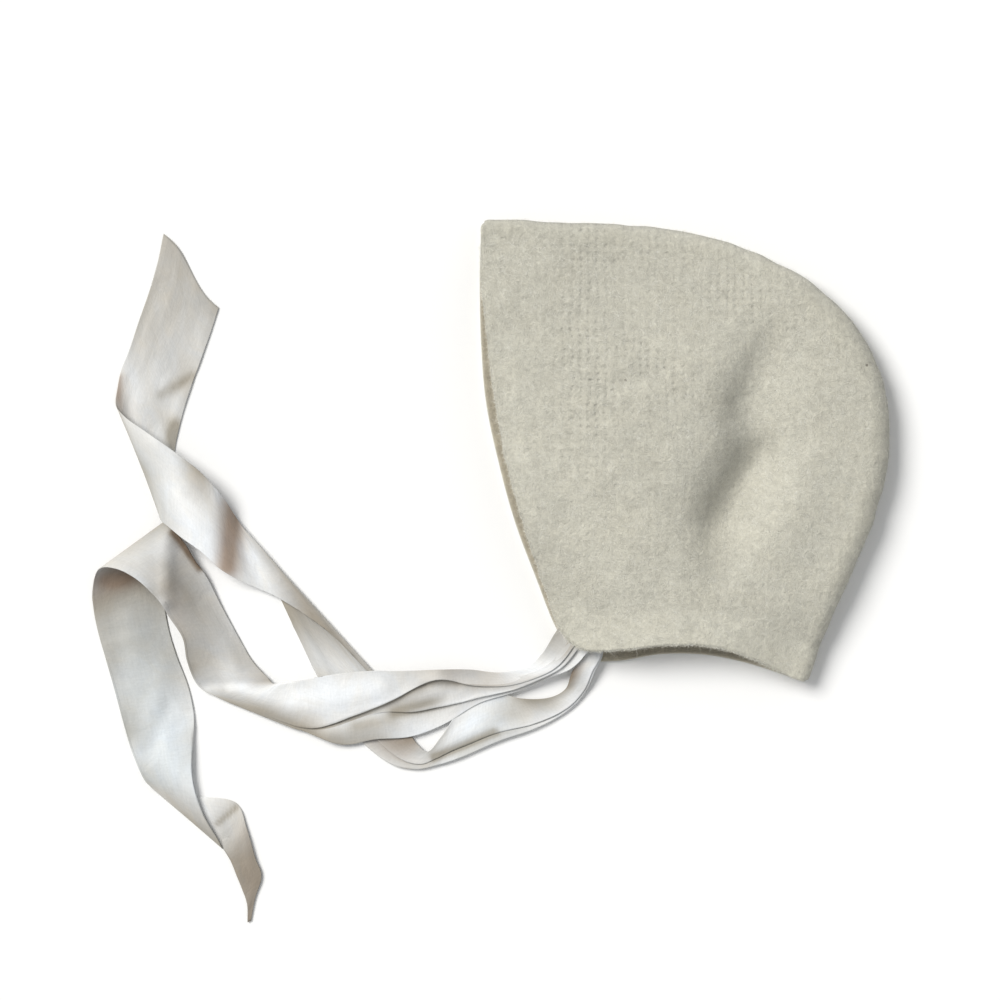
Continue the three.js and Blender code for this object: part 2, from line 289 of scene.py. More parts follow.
crown = {
    "wall": 3.0,
    "rimRadius": 7.0,
    "rimEndRadius": 5.0,
    "rimEndShare": 0.14,
    "height": 19.5,
    "foldReach": 46.0,
    "mouthReach": 42.0,
    "mouthShare": 0.6,
    "corner": (-42.6, -68.2),
    "cornerPinch": 5.5,
    "cornerPinchReach": 26.0,
    # corners rounded in plan: x, y, x and y of a unit vector into the cloth across one side, radius
    "roundedCorners": (
        (-73.2, 83.0, 1.0, 0.0, 3.8),  # top of the face
        (44.6, -84.2, -0.93, 0.36, 2.6),  # nape
    ),
    # shares of the fold's length where the first few loops lie, and the same from the other end
    "endShares": (0.0, 0.0004, 0.001, 0.002, 0.0035),
    "firstShare": 0.0055,
    "stations": 268,
    "foldLength": 370.0,
    "upperSteps": 130,
    "rimSteps": 22,
    "lowerSteps": 14,
    "capSteps": 3,
    "lumps": ((17.0, 0.20, 3), (6.5, 0.09, 4)),  # wavelength, height, seed
    "edgeWobble": 0.22,
    "foldWobble": (16.0, 8),  # wavelength, seed
    "cutWobble": (11.0, 9),
    "cutPace": 0.9,  # the cut edges are this much shorter than the fold
    "wobbleReach": 20.0,
    "capShare": 0.4,  # a cut edge's rounding takes no more than this share of the wall's width in plan
    "leastRoundness": 0.002,  # squared, so that the very ends of the fold aren't quite flat
    # heights go by the distance to this many points of the cut edge, and to every fourth of the fold
    "mouthPoints": 90,
    "foldPointEvery": 4,
    # x, y of the fold, from the top front corner over the head and down the back to the nape
    "foldOutline": (
        (-72.8, 82.9), (-58, 82.4), (-45, 81.6), (-16, 80.3), (6, 77), (27.5, 69.8),
        (45, 60.3), (59, 47.5), (68.5, 32.5), (73.2, 14.5), (73.2, -4), (69, -22),
        (61, -42.5), (52.6, -61), (48, -73), (46.2, -78.4), (44.4, -83.8),
    ),
    # x, y of the cut edge of the upper wall: down the face, round the front corner, along the neck
    "upperEdge": (
        (-72.9, 77.4), (-72.8, 60), (-70.6, 40), (-67.9, 17.5), (-63.6, -5), (-58, -26),
        (-51.1, -46.5), (-45.6, -62.5), (-42, -68.2), (-36, -71.8), (-24, -71.8), (-8.6, -70.2),
        (7, -70.2), (20, -73.4), (30, -77.8), (38.1, -81.6),
    ),
    # the cut edge of the lower wall, which shows a little past the upper one
    "lowerEdge": (
        (-72.9, 77.4), (-73.3, 60), (-72.9, 40), (-71.1, 17.5), (-66.4, -5), (-60.6, -26),
        (-52.9, -46.5), (-46.6, -62.5), (-42.2, -70), (-36, -75.3), (-24, -75.9), (-8.6, -73.5),
        (7, -73.6), (20, -75.9), (30, -78.8), (38.1, -81.6),
    ),
    # fromX, fromY, toX, toY, depth, half width on the face's side, half width towards the back of the head
    "dents": (
        (34, 37, 25, 17.5, 9, 11, 18),  # upper trough
        (24.5, -8, 15, -24.5, 10.4, 10.5, 17.5),  # lower trough
        (44, 3.5, 60, 5, 1.5, 5, 6),  # faint fold towards the back
        (-30, 20, -8, 28, 0.9, 4, 5),  # faint wrinkles in the side
        (-38, 10, -20, 14, 0.5, 2.5, 3),
        (-26, -14, -10, -8, 0.5, 3, 3.5),
    ),
    # x, y, height, halfWidth
    "swells": (
        (-12, 8, 2, 30),  # middle of the side
        (42, 20, 1.5, 15),  # back of the head, upper
        (42, -22, 1.8, 17),  # back of the head, lower
    ),
    "foldPaintedShade": 0.36,  # painted shade on the outermost line of the fold
    "foldPaintedShadeWidth": 0.28,  # half width of that line, as a share of half the round
    "edgePaintedShades": (0.24, 0.072),  # painted shade on the middle of a cut edge, and on its upper rim
    "neckTop": -68.0,  # y below which the cut edge is the neck's
    "hemReach": 17.0,
    "hemFade": 5.0,
    # a little painted shade on the felt, or painted light where the amount is below zero:
    # fromX, fromY, toX, toY, amount, halfWidth
    "dim": (
        (-66, 74, -34, 66, 0.11, 26),
        (70, 20, 69, -16, 0.06, 6),
        (14, 12, 8, -14, 0.10, 9),
        (-66, 34, -55, -26, -0.07, 4),
        (-46, -54, -38, -66, -0.05, 6),
    ),
    # where the knit shows through the felt: fromX, fromY, toX, toY, strength, halfWidth
    "knitShows": (
        (-36, 76, -35, 12, 0.9, 11),
        (-16, 32, -2, 20, 0.8, 9),
        (-6, 66, 16, 58, 0.4, 9),
        (20, 54, 36, 48, 0.4, 7),
        (-40, -4, -28, -14, 0.3, 8),
        (30, -30, 22, -52, 0.25, 9),
    ),
}


# height of the upper wall over the floor: it rises with a smooth step in from the fold, less near the open
# edge, with bell shaped swells and hollows
def crownHeight(spec, x, y, rimTop, foldPath, mouthPath):
    fromFold = smoothStep(distanceToPath(x, y, foldPath) / spec["foldReach"])
    fromMouth = smoothStep(distanceToPath(x, y, mouthPath) / spec["mouthReach"])
    height = (spec["height"] - rimTop) * (spec["mouthShare"] + (1 - spec["mouthShare"]) * fromMouth)
    toCorner = np.hypot(x - spec["corner"][0], y - spec["corner"][1])
    height -= spec["cornerPinch"] * bell(toCorner, spec["cornerPinchReach"])
    for swellX, swellY, rise, halfWidth in spec["swells"]:
        height += rise * fromMouth * bell(np.hypot(x - swellX, y - swellY), halfWidth)
    for fromX, fromY, toX, toY, depth, nearWidth, farWidth in spec["dents"]:
        runX, runY = toX - fromX, toY - fromY
        beside = (runX * (y - fromY) - runY * (x - fromX)) / math.hypot(runX, runY)
        reach = nearWidth + (farWidth - nearWidth) * smoothStep(0.5 + beside / (2 * nearWidth))
        height -= depth * bell(distanceToLine(x, y, fromX, fromY, toX, toY), reach)
    for wavelength, rise, seed in spec["lumps"]:
        height += rise * unevenness(x, y, wavelength, seed)
    return rimTop + height * fromFold


# The pouch as closed loops side by side along the fold. A loop runs over the upper wall from its cut edge
# to the fold, half round the fold, back under to the lower cut edge, round that edge, and home a wall's
# thickness inside.
def crownLoops(spec):
    ends = np.array(spec["endShares"])
    first = spec["firstShare"]
    shares = np.concatenate([ends, np.linspace(first, 1 - first, spec["stations"]), 1 - ends[::-1]])
    fold = evenly(spec["foldOutline"], shares)
    along = np.gradient(fold, axis=0)
    along /= np.linalg.norm(along, axis=1)[:, None]
    outward = np.stack([-along[:, 1], along[:, 0]], axis=1)
    length = shares * spec["foldLength"]
    swing = spec["edgeWobble"] * unevenness(length, length * 0, *spec["foldWobble"])
    fold = fold + outward * swing[:, None]
    grown = smoothStep(np.minimum(shares, 1 - shares) / spec["rimEndShare"])
    radius = (spec["rimEndRadius"] + (spec["rimRadius"] - spec["rimEndRadius"]) * grown)[:, None]
    centre = fold - radius * outward
    upper = evenly(spec["upperEdge"], shares)
    lower = evenly(spec["lowerEdge"], shares)
    away = upper - centre
    reach = np.linalg.norm(away, axis=1)
    away /= reach[:, None]
    cap = np.minimum(spec["wall"] / 2, spec["capShare"] * reach)
    cutLength = length * spec["cutPace"]
    swing = spec["edgeWobble"] * unevenness(cutLength, length * 0, *spec["cutWobble"])
    upperIn = upper - away * (cap - swing * smoothStep(reach / spec["wobbleReach"]))[:, None]
    lowerIn = lower - away * cap[:, None]
    mouthPath = evenly(spec["upperEdge"], np.linspace(0, 1, spec["mouthPoints"]))
    foldPath = centre[:: spec["foldPointEvery"]]
    rim = np.linspace(math.pi / 2, -math.pi / 2, spec["rimSteps"] + 2)[1:-1]
    share = np.linspace(0, 1, spec["upperSteps"])[None, :, None]
    upperPlan = upperIn[:, None] * (1 - share) + centre[:, None] * share
    upperZ = crownHeight(spec, upperPlan[..., 0], upperPlan[..., 1], 2 * radius, foldPath, mouthPath)
    share = np.linspace(0, 1, spec["lowerSteps"])[None, :, None]
    lowerPlan = centre[:, None] * (1 - share) + lowerIn[:, None] * share
    lowerZ = np.zeros(lowerPlan.shape[:2])

    # the pouch's outer face, or its inner one a wall's thickness in
    def wall(inset):
        rimPlan = centre[:, None] + ((radius - inset) * np.cos(rim))[..., None] * outward[:, None]
        rimZ = radius + (radius - inset) * np.sin(rim)
        plan = np.concatenate([upperPlan, rimPlan, lowerPlan], axis=1)
        z = np.concatenate([upperZ - inset, rimZ, lowerZ + inset], axis=1)
        return np.concatenate([plan, z[..., None]], axis=2)

    # half circle round a cut edge, from one face of the wall to the other
    def edgeRound(plan, z, turn):
        half = spec["wall"] / 2
        xy = plan[:, None] + away[:, None] * (cap[:, None] * np.cos(turn))[..., None]
        return np.concatenate([xy, (z[:, None] + half * np.sin(turn)[None, :])[..., None]], axis=2)

    turns = np.linspace(-math.pi / 2, math.pi / 2, 2 * spec["capSteps"] + 3)[1:-1]
    outer = wall(0)
    inner = wall(spec["wall"])[:, ::-1]
    lowerCap = edgeRound(lowerIn, np.full(len(shares), spec["wall"] / 2), turns)
    upperCap = edgeRound(upperIn, upperZ[:, 0] - spec["wall"] / 2, turns)
    middle = spec["capSteps"]
    loops = np.concatenate([upperCap[:, middle:], outer, lowerCap, inner, upperCap[:, :middle]], axis=1)
    opposite = loops[:, (-np.arange(loops.shape[1])) % loops.shape[1]]
    fromEnd = np.minimum(shares, 1 - shares) * spec["foldLength"] / (spec["wall"] / 2)
    square = np.clip(1 - (1 - np.minimum(fromEnd, 1)) ** 2, spec["leastRoundness"], 1)
    loops = (loops + opposite) / 2 + (loops - opposite) / 2 * np.sqrt(square)[:, None, None]
    for corner in spec["roundedCorners"]:
        roundCorner(loops, *corner)
    return loops, outer.shape[1]


# Rounds a square corner in plan: within the radius, squares about its centre become circles. The second
# side's inward direction is the first one's turned a quarter clockwise.
def roundCorner(points, cornerX, cornerY, inwardX, inwardY, radius):
    one = np.array([inwardX, inwardY])
    two = np.array([inwardY, -inwardX])
    offset = points[..., :2] - (cornerX, cornerY)
    deepOne = np.maximum(radius - offset @ one, 0)
    deepTwo = np.maximum(radius - offset @ two, 0)
    ease = 1 - np.maximum(deepOne, deepTwo) / np.maximum(np.hypot(deepOne, deepTwo), 1e-9)
    points[..., :2] += (deepOne * ease)[..., None] * one + (deepTwo * ease)[..., None] * two


# How the felt varies: near the neck's hem, which fades over a few millimetres, and where the knit shows.
# Painted shade lies on the inside, along the outermost line of the fold and on the cut edges, and in
# patches, which give painted light where their amount is below zero.
def crownTonesAndPaintedShade(spec, loops, wallPoints):
    x, y = loops[..., 0], loops[..., 1]
    caps = spec["capSteps"]
    # the inside faces, which get painted shade
    inside = np.zeros(x.shape)
    inside[:, wallPoints + 3 * caps :] = 1.0
    neck = [p for p in spec["upperEdge"] if p[1] < spec["neckTop"]]
    hem = smoothStep((spec["hemReach"] - distanceToPath(x, y, neck)) / spec["hemFade"]) * (1 - inside)
    # painted shade along the outermost line of the fold and on the cut edges
    paintedEdgeShade = np.zeros(x.shape)
    firstRim = caps + 1 + spec["upperSteps"]
    turns = np.linspace(-1, 1, spec["rimSteps"])
    foldPaintedShade = spec["foldPaintedShade"] * bell(turns, spec["foldPaintedShadeWidth"])
    paintedEdgeShade[:, firstRim : firstRim + spec["rimSteps"]] = foldPaintedShade
    paintedEdgeShade[:, : caps + 1] = np.linspace(*spec["edgePaintedShades"], caps + 1)
    paintedEdgeShade[:, -caps:] = spec["edgePaintedShades"][0]
    knit = np.clip(strokeSum(spec["knitShows"], x, y), 0, 1)
    return {"hem": hem, "inside": inside, "knit": knit, "dim": strokeSum(spec["dim"], x, y) + paintedEdgeShade}


# the crown from its loops, closed at both ends of the fold by joining each point to the one across it
def buildCrown(spec, material):
    loops, wallPoints = crownLoops(spec)
    stations, around, _ = loops.shape
    points = loops.reshape(-1, 3)
    half = around // 2
    i = np.arange(1, half - 1)
    lid = np.stack([i, i + 1, around - i - 1, around - i], axis=1)
    tips = np.array([[0, 1, around - 1], [half - 1, half, half + 1]])
    base = (stations - 1) * around
    quads = np.concatenate([gridFaces(stations, around, True), lid[:, ::-1], lid + base])
    triangles = np.concatenate([tips[:, ::-1], tips + base])
    if insideVolume(points, quads) < 0:
        quads, triangles = quads[:, ::-1], triangles[:, ::-1]
    tonesAndPaintedShade = crownTonesAndPaintedShade(spec, loops, wallPoints)
    made = addMesh("felt_crown", points, quads, material, None, tonesAndPaintedShade, triangles.tolist())
    return made, loops, wallPoints


felt = {
    "colour": (0.655, 0.637, 0.542),
    "warmPatchAndPaintedShadeColour": (1.0, 0.975, 0.93, 1.0),
    "warmth": 0.35,
    "warmStops": ((0.35, 0.0), (0.7, 1.0)),
    "level": 0.95,
    # scale, detail, roughness, distortion
    "noises": {
        "broad": (45.0, 3.0, 0.55),
        "mottle": (320.0, 4.0, 0.62, 0.5),
        "nap": (900.0, 6.0, 0.75, 1.2),
        "grain": (2600.0, 3.0, 0.7, 0.6),
        "drift": (130.0, 3.0, 0.6),
        "slip": (60.0, 2.0, 0.5),
        "patches": (170.0, 3.0, 0.6),
        "warmth": (70.0, 3.0, 0.6),
    },
    # how far a noise makes the wool lighter and darker
    "strengths": {"broad": 0.22, "mottle": 0.56, "nap": 0.56, "grain": 0.45},
    "knitWale": 0.0031,  # metres between the rows of pits
    "knitCourse": 0.0027,
    "knitWander": (0.0022, 0.004, 0.0024, 0.003),  # metres: two noises across, the same two along
    "patchStops": ((0.30, 0.15), (0.72, 1.0)),
    # how much painted shade the knit's pits and grooves get
    "knitPaintedShade": 0.13,
    "hemLight": 0.07,
    "hemLineShade": 0.14,
    # painted shade on the inside faces: how bright they stay, and the colour they are multiplied by
    "insidePaintedShadeLevel": 0.80,
    "insidePaintedShadeColour": (0.90, 0.84, 0.76, 1.0),
    "flecks": ((65.2, 30.2), (-21.2, 24.8)),
    "fleckRadius": 0.0005,
    "fleckStrength": 0.6,
    "fleckColour": (0.10, 0.08, 0.05, 1.0),
    "reliefDepth": 0.0013,
    "reliefStrength": 0.85,
    # the shader's own sockets
    "surface": {
        "Roughness": 0.95,
        "Specular IOR Level": 0.15,
        "Sheen Weight": 0.25,
        "Sheen Roughness": 0.6,
    },
}


# boiled wool: mottled, with the sunken knit showing as rows of small pits in painted shade, and a fibrous
# nap;
# painted shade on the inside, the edges and patches of the crown, with painted light in a few
def feltFinish(spec, name):
    wool = Finish(name)
    place = wool.node("ShaderNodeTexCoord", {}, {}, "Object")
    x = wool.node("ShaderNodeSeparateXYZ", {}, {"Vector": place}, "X")
    y = wool.node("ShaderNodeSeparateXYZ", {}, {"Vector": place}, "Y")
    noises = {title: wool.noise(place, *row) for title, row in spec["noises"].items()}
    drift, slip = noises["drift"], noises["slip"]
    # rows of pits: the product of two cosines across and along the knit, squared, and faint grooves, all
    # wandering a little with two of the noises
    waleDrift, waleSlip, courseDrift, courseSlip = spec["knitWander"]
    column = wool.cosine((x + drift * waleDrift + slip * waleSlip) * (2 * math.pi / spec["knitWale"]))
    course = wool.cosine((y + drift * courseDrift + slip * courseSlip) * (2 * math.pi / spec["knitCourse"]))
    pit = ((column + 1) * (course + 1) * 0.25) ** 2
    groove = (column * 0.5 + 0.5) ** 2 * 0.30 + (course * 0.5 + 0.5) ** 2 * 0.12
    showing = 0.30 + wool.attribute("knit") * 0.9
    knit = (pit + groove) * wool.ramp(noises["patches"], spec["patchStops"]) * showing
    hem = wool.attribute("hem")
    inside = wool.attribute("inside")
    level = wool.varied(spec["level"], noises, spec["strengths"])
    level = level + hem * spec["hemLight"] - hem * (1 - hem) * spec["hemLineShade"]
    # painted shade in the knit's pits and grooves
    level = level - knit * spec["knitPaintedShade"]
    # painted shade and light from the patches, the fold line and the cut edges, then painted shade on the
    # inside
    level = level * (1 - wool.attribute("dim")) * (1 - inside * (1 - spec["insidePaintedShadeLevel"]))
    colour = wool.scaled(spec["colour"], level)
    warmth = wool.ramp(noises["warmth"], spec["warmStops"]) * spec["warmth"]
    colour = wool.blend(warmth, colour, spec["warmPatchAndPaintedShadeColour"], "MULTIPLY")
    # the painted shade of the inside faces is browner
    colour = wool.blend(inside, colour, spec["insidePaintedShadeColour"], "MULTIPLY")
    flat = wool.node("ShaderNodeVectorMath", {"operation": "MULTIPLY"}, {0: place, 1: (1, 1, 0)})
    for fleckX, fleckY in spec["flecks"]:
        ends = {0: flat, 1: (fleckX * mm, fleckY * mm, 0)}
        away = wool.node("ShaderNodeVectorMath", {"operation": "DISTANCE"}, ends, "Value")
        near = wool.node("ShaderNodeMath", {"operation": "LESS_THAN"}, {0: away, 1: spec["fleckRadius"]})
        colour = wool.blend(near * spec["fleckStrength"], colour, spec["fleckColour"])
    relief = noises["mottle"] * 0.62 + noises["nap"] * 0.62 + noises["grain"] * 0.16
    relief = relief - knit * 0.40 * (1 - hem * 0.7)
    return wool.surface(colour, relief, spec)


crownMaterial = feltFinish(felt, "felt")
feltCrown, crownGrid, crownWallPoints = buildCrown(crown, crownMaterial)
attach(feltCrown, "root")
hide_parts("crown")
print("crown:", len(feltCrown.data.polygons), "faces")

fuzz = {
    "lying": 15000,  # hairs pressed on the upper wall
    "standing": 7000,  # hairs out of the fold and the cut edges
    "lyingLength": (1.4, 4.6),
    "standingLength": (0.5, 1.5),
    # how steeply a hair leaves the wall, and how far it leans along it
    "lyingLift": (0.02, 0.12),
    "standingLift": (0.35, 1.0),
    "standingLean": 0.55,
    "standingSag": 0.2,
    "bend": 0.5,
    "rootLift": 0.03,
    "width": 0.075,
    "taper": 0.7,
    "segments": 3,
    "bareRows": 8,  # rows of the wall without hairs at each end of the fold
    "seed": 21,
    "colour": (0.70, 0.685, 0.60, 1.0),
    "paleColour": (0.82, 0.81, 0.74, 1.0),
    "paleNoise": (420.0, 3.0, 0.6),
    "paleStops": ((0.38, 0.0), (0.68, 1.0)),
    "surface": {
        "Roughness": 0.9,
        "Specular IOR Level": 0.1,
        "Sheen Weight": 0.2,
        "Sheen Roughness": 0.6,
    },
}


# random places between two columns of a grid, as fractional rows and columns: a cell is drawn as often as
# it is large
def scatter(grid, firstColumn, lastColumn, count, dice):
    a = grid[:-1, firstColumn:lastColumn]
    b, c = grid[1:, firstColumn:lastColumn], grid[:-1, firstColumn + 1 : lastColumn + 1]
    size = np.linalg.norm(np.cross(b - a, c - a), axis=2)
    total = np.cumsum(size)
    drawn = np.minimum(np.searchsorted(total, dice.uniform(0, total[-1], count)), size.size - 1)
    row, column = np.unravel_index(drawn, size.shape)
    return row + dice.random(count), column + firstColumn + dice.random(count)


# points and unit normals of the outer wall at fractions of a row and a column of its grid
def onWall(grid, row, column):
    i, j = row.astype(int), column.astype(int)
    u, v = (row - i)[:, None], (column - j)[:, None]
    a, b, c, d = grid[i, j], grid[i + 1, j], grid[i, j + 1], grid[i + 1, j + 1]
    place = (a * (1 - u) + b * u) * (1 - v) + (c * (1 - u) + d * u) * v
    normal = np.cross(c - a, b - a)
    return place, normal / np.maximum(np.linalg.norm(normal, axis=1), 1e-9)[:, None]


# Loose wool hairs, each a narrow ribbon of three pieces along a parabola: root + reach * t + sag * t * t,
# tapering to its tip. The lying ones follow the wall in all directions, the standing ones lean out of its
# edges.
def buildFuzz(spec, crownSpec, loops, wallPoints, material):
    dice = np.random.default_rng(spec["seed"])
    grid = loops[spec["bareRows"] : -spec["bareRows"], :wallPoints]
    lying, standing = spec["lying"], spec["standing"]
    top = crownSpec["capSteps"] + crownSpec["upperSteps"]
    regions = (
        (0, top, lying),
        (top - 3, top + 3 * crownSpec["rimSteps"] // 4, standing // 2),  # the fold
        (0, crownSpec["capSteps"], standing // 2),  # the cut edge
    )
    row, column = np.concatenate([scatter(grid, *region, dice) for region in regions], axis=1)
    root, normal = onWall(grid, row, column)
    if np.mean(normal[:lying, 2]) < 0:
        normal = -normal
    turn = dice.uniform(0, 2 * math.pi, len(row))
    heading = np.stack([np.cos(turn), np.sin(turn), 0 * turn], axis=1)
    heading -= normal * np.sum(heading * normal, axis=1)[:, None]
    heading /= np.linalg.norm(heading, axis=1)[:, None]
    sideways = np.cross(heading, normal)
    isLying = np.arange(len(row)) < lying
    long = dice.uniform(*spec["lyingLength"], len(row))
    long[lying:] = dice.uniform(*spec["standingLength"], len(row) - lying)
    lyingLift = dice.uniform(*spec["lyingLift"], len(row))
    lift = np.where(isLying, lyingLift, dice.uniform(*spec["standingLift"], len(row)))
    bend = dice.uniform(-spec["bend"], spec["bend"], len(row))
    lean = np.where(isLying, 1.0, spec["standingLean"])
    drop = np.where(isLying, lift, spec["standingSag"])
    reach = (heading * lean[:, None] + normal * lift[:, None]) * long[:, None]
    sag = (sideways * bend[:, None] - normal * drop[:, None]) * long[:, None]
    t = np.linspace(0, 1, spec["segments"] + 1)[None, :, None]
    path = (root + normal * spec["rootLift"])[:, None] + reach[:, None] * t + sag[:, None] * t * t
    across = np.where(isLying[:, None], sideways, np.cross(heading + normal, sideways))
    across /= np.maximum(np.linalg.norm(across, axis=1), 1e-9)[:, None]
    half = spec["width"] / 2 * (1 - spec["taper"] * t) * across[:, None]
    points = np.stack([path - half, path + half], axis=2)
    count = 2 * (spec["segments"] + 1)
    step = np.arange(spec["segments"]) * 2
    hair = np.stack([step, step + 1, step + 3, step + 2], axis=1)
    quads = (hair[None] + (np.arange(len(row)) * count)[:, None, None]).reshape(-1, 4)
    made = points.reshape(-1, 3)
    a, b, c = (made[quads[:, k]] for k in range(3))
    facing = np.sum(np.cross(b - a, c - b) * np.repeat(normal, spec["segments"], axis=0), axis=1)
    quads = np.where(facing[:, None] < 0, quads[:, ::-1], quads)
    return addMesh("wool_fuzz", made, quads, material)


# single hairs: some paler, none shining
def hairFinish(spec, name):
    hair = Finish(name)
    place = hair.node("ShaderNodeTexCoord", {}, {}, "Object")
    pale = hair.ramp(hair.noise(place, *spec["paleNoise"]), spec["paleStops"])
    return hair.surface(hair.blend(pale, spec["colour"], spec["paleColour"]), None, spec)


woolFuzz = buildFuzz(fuzz, crown, crownGrid, crownWallPoints, hairFinish(fuzz, "wool_hair"))
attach(woolFuzz, "root")
print("wool fuzz:", len(woolFuzz.data.polygons), "faces")

silk = {
    "colour": (0.875, 0.905, 0.935, 1.0),
    "creamColour": (0.905, 0.90, 0.875, 1.0),
    # the colour of painted shade, its warm tint, and a cool tint of the painted light and shade
    "paintedShadeColour": (0.415, 0.38, 0.322, 1.0),
    "warmPatchAndPaintedShadeColour": (0.56, 0.44, 0.36, 1.0),
    "paintedCoolLightAndShadeColour": (0.90, 0.955, 1.0, 1.0),
    "creamStops": ((0.34, 0.0), (0.68, 1.0)),
    "level": 0.98,
    "alongWeave": (1.0, 0.10, 1.0),  # noises stretched along the ribbon, and across it
    "acrossWeave": (0.16, 1.0, 1.0),
    # how it is stretched, then scale, detail, roughness, distortion
    "noises": {
        "slubs": ("alongWeave", 1500.0, 3.0, 0.6),
        "streaks": ("alongWeave", 260.0, 3.0, 0.55),
        "weft": ("acrossWeave", 1600.0, 3.0, 0.6),
        "crumple": (None, 120.0, 4.0, 0.55, 0.6),
        "cloud": (None, 55.0, 3.0, 0.5, 0.3),
        "fine": (None, 1300.0, 4.0, 0.7),
        "cream": (None, 75.0, 3.0, 0.6, 0.8),
    },
    # how far a noise makes the silk lighter and darker
    "strengths": {
        "slubs": 0.14, "weft": 0.17, "cloud": 0.10, "streaks": 0.12, "fine": 0.20, "crumple": 0.11,
    },
    "reliefDepth": 0.0007,
    "reliefStrength": 0.65,
    "surface": {
        "Roughness": 0.52,
        "Specular IOR Level": 0.3,
        "Sheen Weight": 0.15,
        "Sheen Roughness": 0.4,
    },
}


# silk ribbon: a fine even weave with slubs, soft creases that follow the cloth, and painted shade from the
# tie's attributes, tinted warm, and cool where the tint is below zero
def silkFinish(spec, name):
    cloth = Finish(name)
    place = cloth.node("ShaderNodeUVMap", {"uv_map": "cloth"}, {}, "UV")
    places = {None: place}
    for title in ("alongWeave", "acrossWeave"):
        places[title] = cloth.node("ShaderNodeMapping", {}, {"Vector": place, "Scale": spec[title]})
    noises = {title: cloth.noise(places[how], *row) for title, (how, *row) in spec["noises"].items()}
    tint = cloth.ramp(noises["cream"], spec["creamStops"])
    colour = cloth.blend(tint, spec["colour"], spec["creamColour"])
    colour = cloth.scaled(colour, cloth.varied(spec["level"], noises, spec["strengths"]))
    # painted shade, then its painted tint: warm, and cool where the tint is below zero
    warm = cloth.attribute("warm")
    colour = cloth.blend(cloth.attribute("dull"), colour, spec["paintedShadeColour"], "MULTIPLY")
    colour = cloth.blend(warm, colour, spec["warmPatchAndPaintedShadeColour"], "MULTIPLY")
    colour = cloth.blend(0 - warm, colour, spec["paintedCoolLightAndShadeColour"], "MULTIPLY")
    relief = noises["slubs"] * 0.08 + noises["weft"] * 0.08 + noises["streaks"] * 0.22
    relief = relief + noises["crumple"] * 0.8 + noises["fine"] * 0.06
    return cloth.surface(colour, relief, spec)


silkMaterial = silkFinish(silk, "silk")

ribbon = {
    "width": 26.0,
    "thickness": 0.22,
    "stepsPerRow": 9,
    # grid steps between the lines where the cloth can turn, from the left selvedge
    "leafSteps": (4, 12, 6, 12, 6, 16, 4),
    "leastLeaf": 0.05,  # least cloth between two of these lines
    "leastLap": 0.3,  # a fold rises over at least this much cloth
    "pleatFade": 6.0,  # how far a lifted leaf takes to come down again
    "fadePerLap": 1.4,  # at least this far for each millimetre of its lap
    "openPleat": 0.8,  # a lap of minus this is no pleat at all
    "shadeReach": 2.4,  # how far a leaf's painted shade reaches on the cloth beneath it
    "floorGap": 0.08,
    "settle": 0.52,  # the silk is thinner than its solid in the CAD model, and lies that much lower
    "wrinkles": ((7.0, 40.0, 0.22, 11), (3.0, 16.0, 0.08, 12)),  # across, along, height, seed
    "rowBlend": 0.33,  # rows over which a table's line is averaged, to each side
    "strokeFade": 0.8,  # rows over which a stroke comes in and goes out
}

# Rows of a tie: left x, y, z and right x, y, z of the two selvedges, as seen going from the bonnet to the
# free end.
# Pleats: row, line A, lap A, line B, lap B, left tuck, right tuck, lift, shade A, shade B. A line is a
# share of the width that shows, from the left. The leaf to its right lies on top and laps over by that many
# millimetres, or lies open where the lap is below zero. The tucks are how far the selvedges are turned
# under, and the lift is how high a leaf stands at its fold. The shades are how much painted shade the cloth
# gets where it comes out from under the two pleats, and are left out where neither pleat gives any.
# Creases: first row, last row, fromX, fromY, toX, toY, rise, halfWidth, in plan.
# Tones: row, then the painted shade at the left, in the middle and at the right, and the painted tint of
# light and shade there: warm, or cool where the number is below zero. Rows without a tint leave it out.
# Then two tables of strokes of the same form as the creases: painted shade, and its warm painted tint.
noPleats = (0.02, -0.8, 0.03, -0.8)

